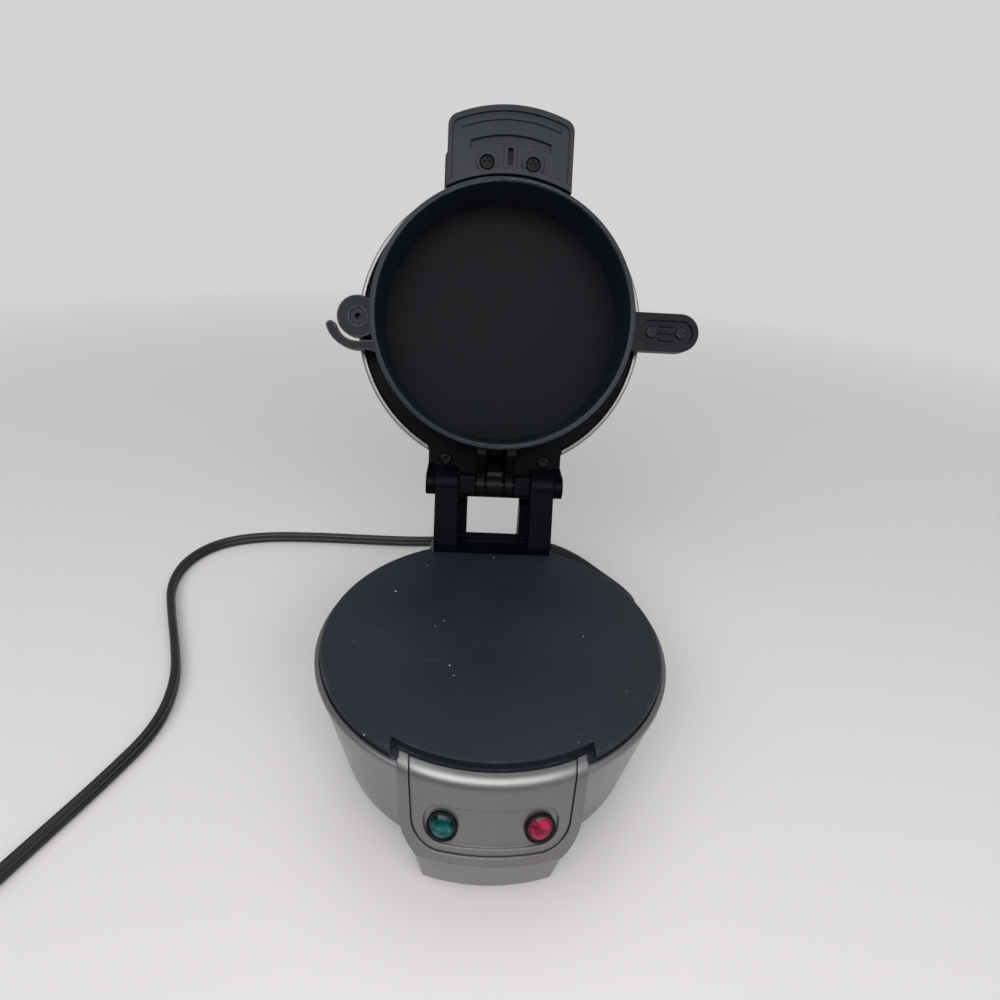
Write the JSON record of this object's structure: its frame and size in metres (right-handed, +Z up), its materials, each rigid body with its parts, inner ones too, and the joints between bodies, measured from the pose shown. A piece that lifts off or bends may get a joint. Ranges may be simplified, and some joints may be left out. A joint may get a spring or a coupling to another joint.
{
  "type": "breakfast sandwich maker",
  "caption": "Round countertop sandwich cooker shown open: heated base with front console, and a hinged lid that carries two stacked rings with a swinging cooking plate between them.",
  "frame": {"origin": "on the table, under the middle of the lower heating plate", "axes": "+Z up, +Y from the middle of the lower plate to the hinge, +X to the right of a user who faces the console"},
  "size_m": [0.3333, 0.2967, 0.2288],
  "materials": {
    "silver_paint": "warm grey metallic paint, satin",
    "black_plastic": "moulded heat-resistant plastic, satin",
    "dark_coated_aluminium": "dark grey non-stick coating, satin",
    "dark_coated_steel": "dark paint, matt",
    "heater_steel": "heat-darkened sheath, dull",
    "bare_aluminium": "rolled sheet, satin",
    "brown_ceramic": "fired, matt",
    "white_ceramic": "fired, matt",
    "screw_steel": "plated, satin",
    "blade_brass": "plain, polished",
    "green_lens": "clear tinted, polished",
    "red_lens": "clear tinted, polished",
    "lamp_glass": "clear, polished",
    "black_rubber": "moulded, matt",
    "cord_rubber": "smooth flexible sheath, satin"
  },
  "bodies": {
    "base": {"base_housing": "silver_paint", "front_panel": "silver_paint", "preheat_lens": "green_lens", "power_lens": "red_lens", "indicator_lamps": "lamp_glass", "bottom_cover": "dark_coated_steel", "rubber_feet": "black_rubber", "lower_heating_plate": "dark_coated_aluminium", "lower_heating_element": "heater_steel", "lower_heat_shield": "bare_aluminium", "lower_shield_studs": "bare_aluminium", "thermostat": "brown_ceramic", "thermal_fuse": "bare_aluminium", "terminal_block": "white_ceramic", "hinge_bracket": "black_plastic", "hinge_pin": "screw_steel", "base_screws": "screw_steel", "bracket_screws": "screw_steel", "strain_relief": "cord_rubber", "power_cord": "cord_rubber", "cord_coil": "cord_rubber", "plug_body": "cord_rubber", "plug_blades": "blade_brass"},
    "cover": {"cover_collar": "black_plastic", "cover_shell": "silver_paint", "cover_handle": "black_plastic", "cover_handle_screws": "screw_steel", "collar_screws": "screw_steel", "upper_heating_plate": "dark_coated_aluminium", "upper_heating_element": "heater_steel", "upper_heat_shield": "bare_aluminium", "upper_shield_studs": "bare_aluminium", "upper_plate_screws": "screw_steel"},
    "bottom_ring_assembly": {"bottom_ring": "dark_coated_aluminium", "pivot_rivet": "screw_steel", "ring_handle": "black_plastic", "ring_handle_screws": "screw_steel"},
    "cooking_plate_assembly": {"cooking_plate": "dark_coated_aluminium", "plate_handle_lower": "black_plastic", "plate_handle_upper": "black_plastic", "plate_handle_screws": "screw_steel"},
    "top_ring_body": {"top_ring": "dark_coated_aluminium"}
  },
  "joints": [
    {"name": "cover_hinge", "type": "hinge", "parent": "base", "child": "cover", "pos_m": [0, 0.0716, 0.0779], "axis": [1, 0, 0], "range_deg": [0, 112]},
    {"name": "bottom_ring_hinge", "type": "hinge", "parent": "base", "child": "bottom_ring_assembly", "pos_m": [0, 0.0716, 0.0779], "axis": [1, 0, 0], "range_deg": [0, 112]},
    {"name": "top_ring_hinge", "type": "hinge", "parent": "base", "child": "top_ring_body", "pos_m": [0, 0.0716, 0.0779], "axis": [1, 0, 0], "range_deg": [0, 112]},
    {"name": "cooking_plate_pivot", "type": "hinge", "parent": "bottom_ring_assembly", "child": "cooking_plate_assembly", "pos_m": [-0.0625, 0.0976, 0.1446], "axis": [0, 0.9272, -0.3746], "range_deg": [-115, 0]}
  ],
  "couplings": [
    {"joint": "bottom_ring_hinge", "follows": "cover_hinge", "ratio": 1},
    {"joint": "top_ring_hinge", "follows": "cover_hinge", "ratio": 1}
  ]
}
